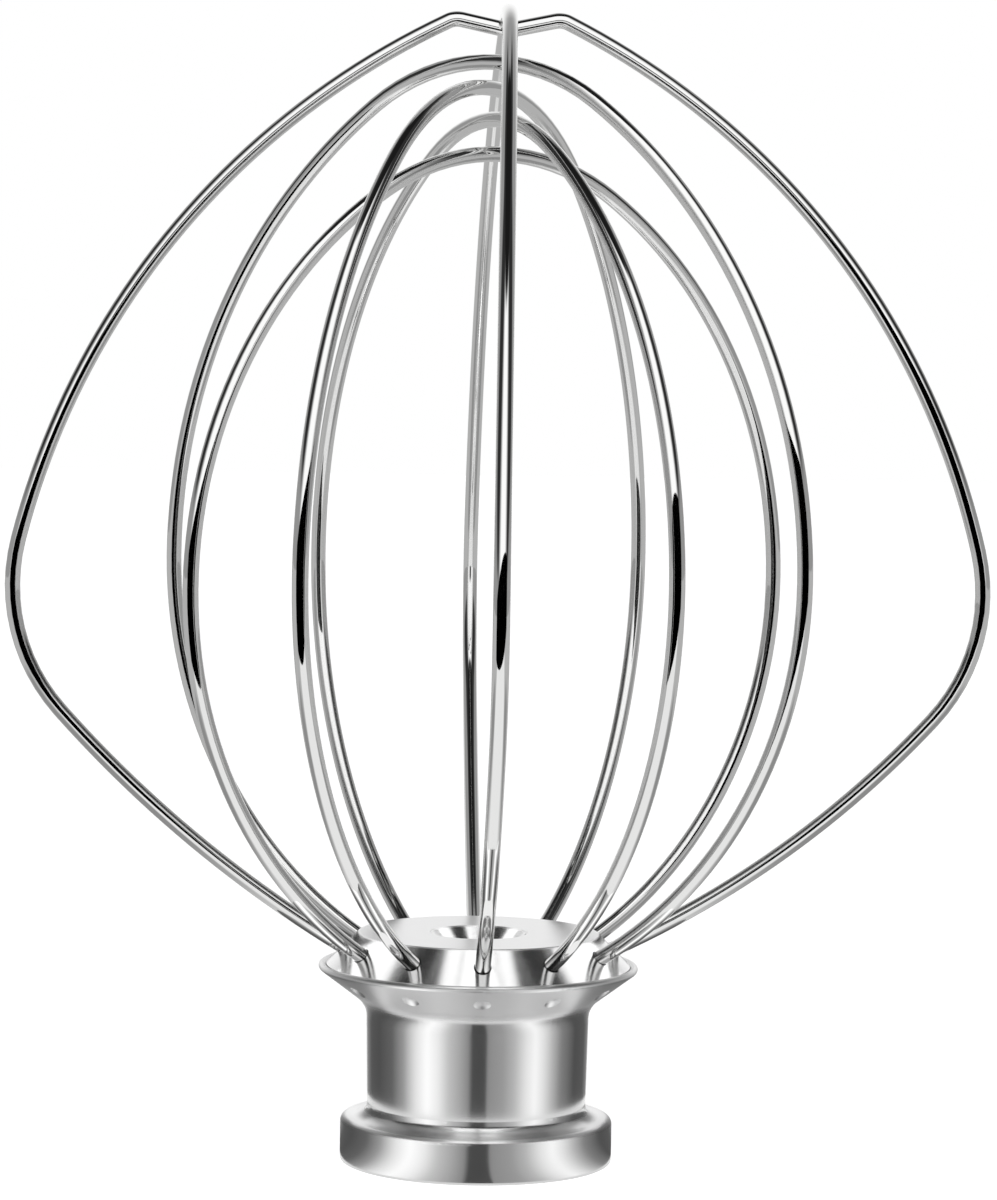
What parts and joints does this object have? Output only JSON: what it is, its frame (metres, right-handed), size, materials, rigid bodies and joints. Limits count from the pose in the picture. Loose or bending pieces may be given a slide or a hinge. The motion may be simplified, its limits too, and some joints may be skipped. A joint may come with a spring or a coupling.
{
  "type": "stand mixer wire whisk",
  "caption": "Balloon whisk for a stand mixer: bent steel wire loops seated in a conical holder plate, on a turned hub with a shaft bore and a bayonet pin slot.",
  "frame": {"origin": "centre of the shaft bore at the foot face of the hub", "axes": "+Z along the bore from the hub's foot to the crown of the wire cage; the dipped outer loop lies over the X axis and the other outer loop over the Y axis"},
  "size_m": [0.14, 0.14, 0.1642],
  "materials": {
    "hub_steel": "fine turned satin",
    "holder_steel": "polished",
    "wire_steel": "bright drawn wire"
  },
  "bodies": {
    "root": {"hub": "hub_steel", "wire_holder": "holder_steel", "outer_wire_under": "wire_steel", "outer_wire_over": "wire_steel", "inner_wire_1": "wire_steel", "inner_wire_2": "wire_steel", "inner_wire_3": "wire_steel", "inner_wire_4": "wire_steel"}
  },
  "joints": []
}
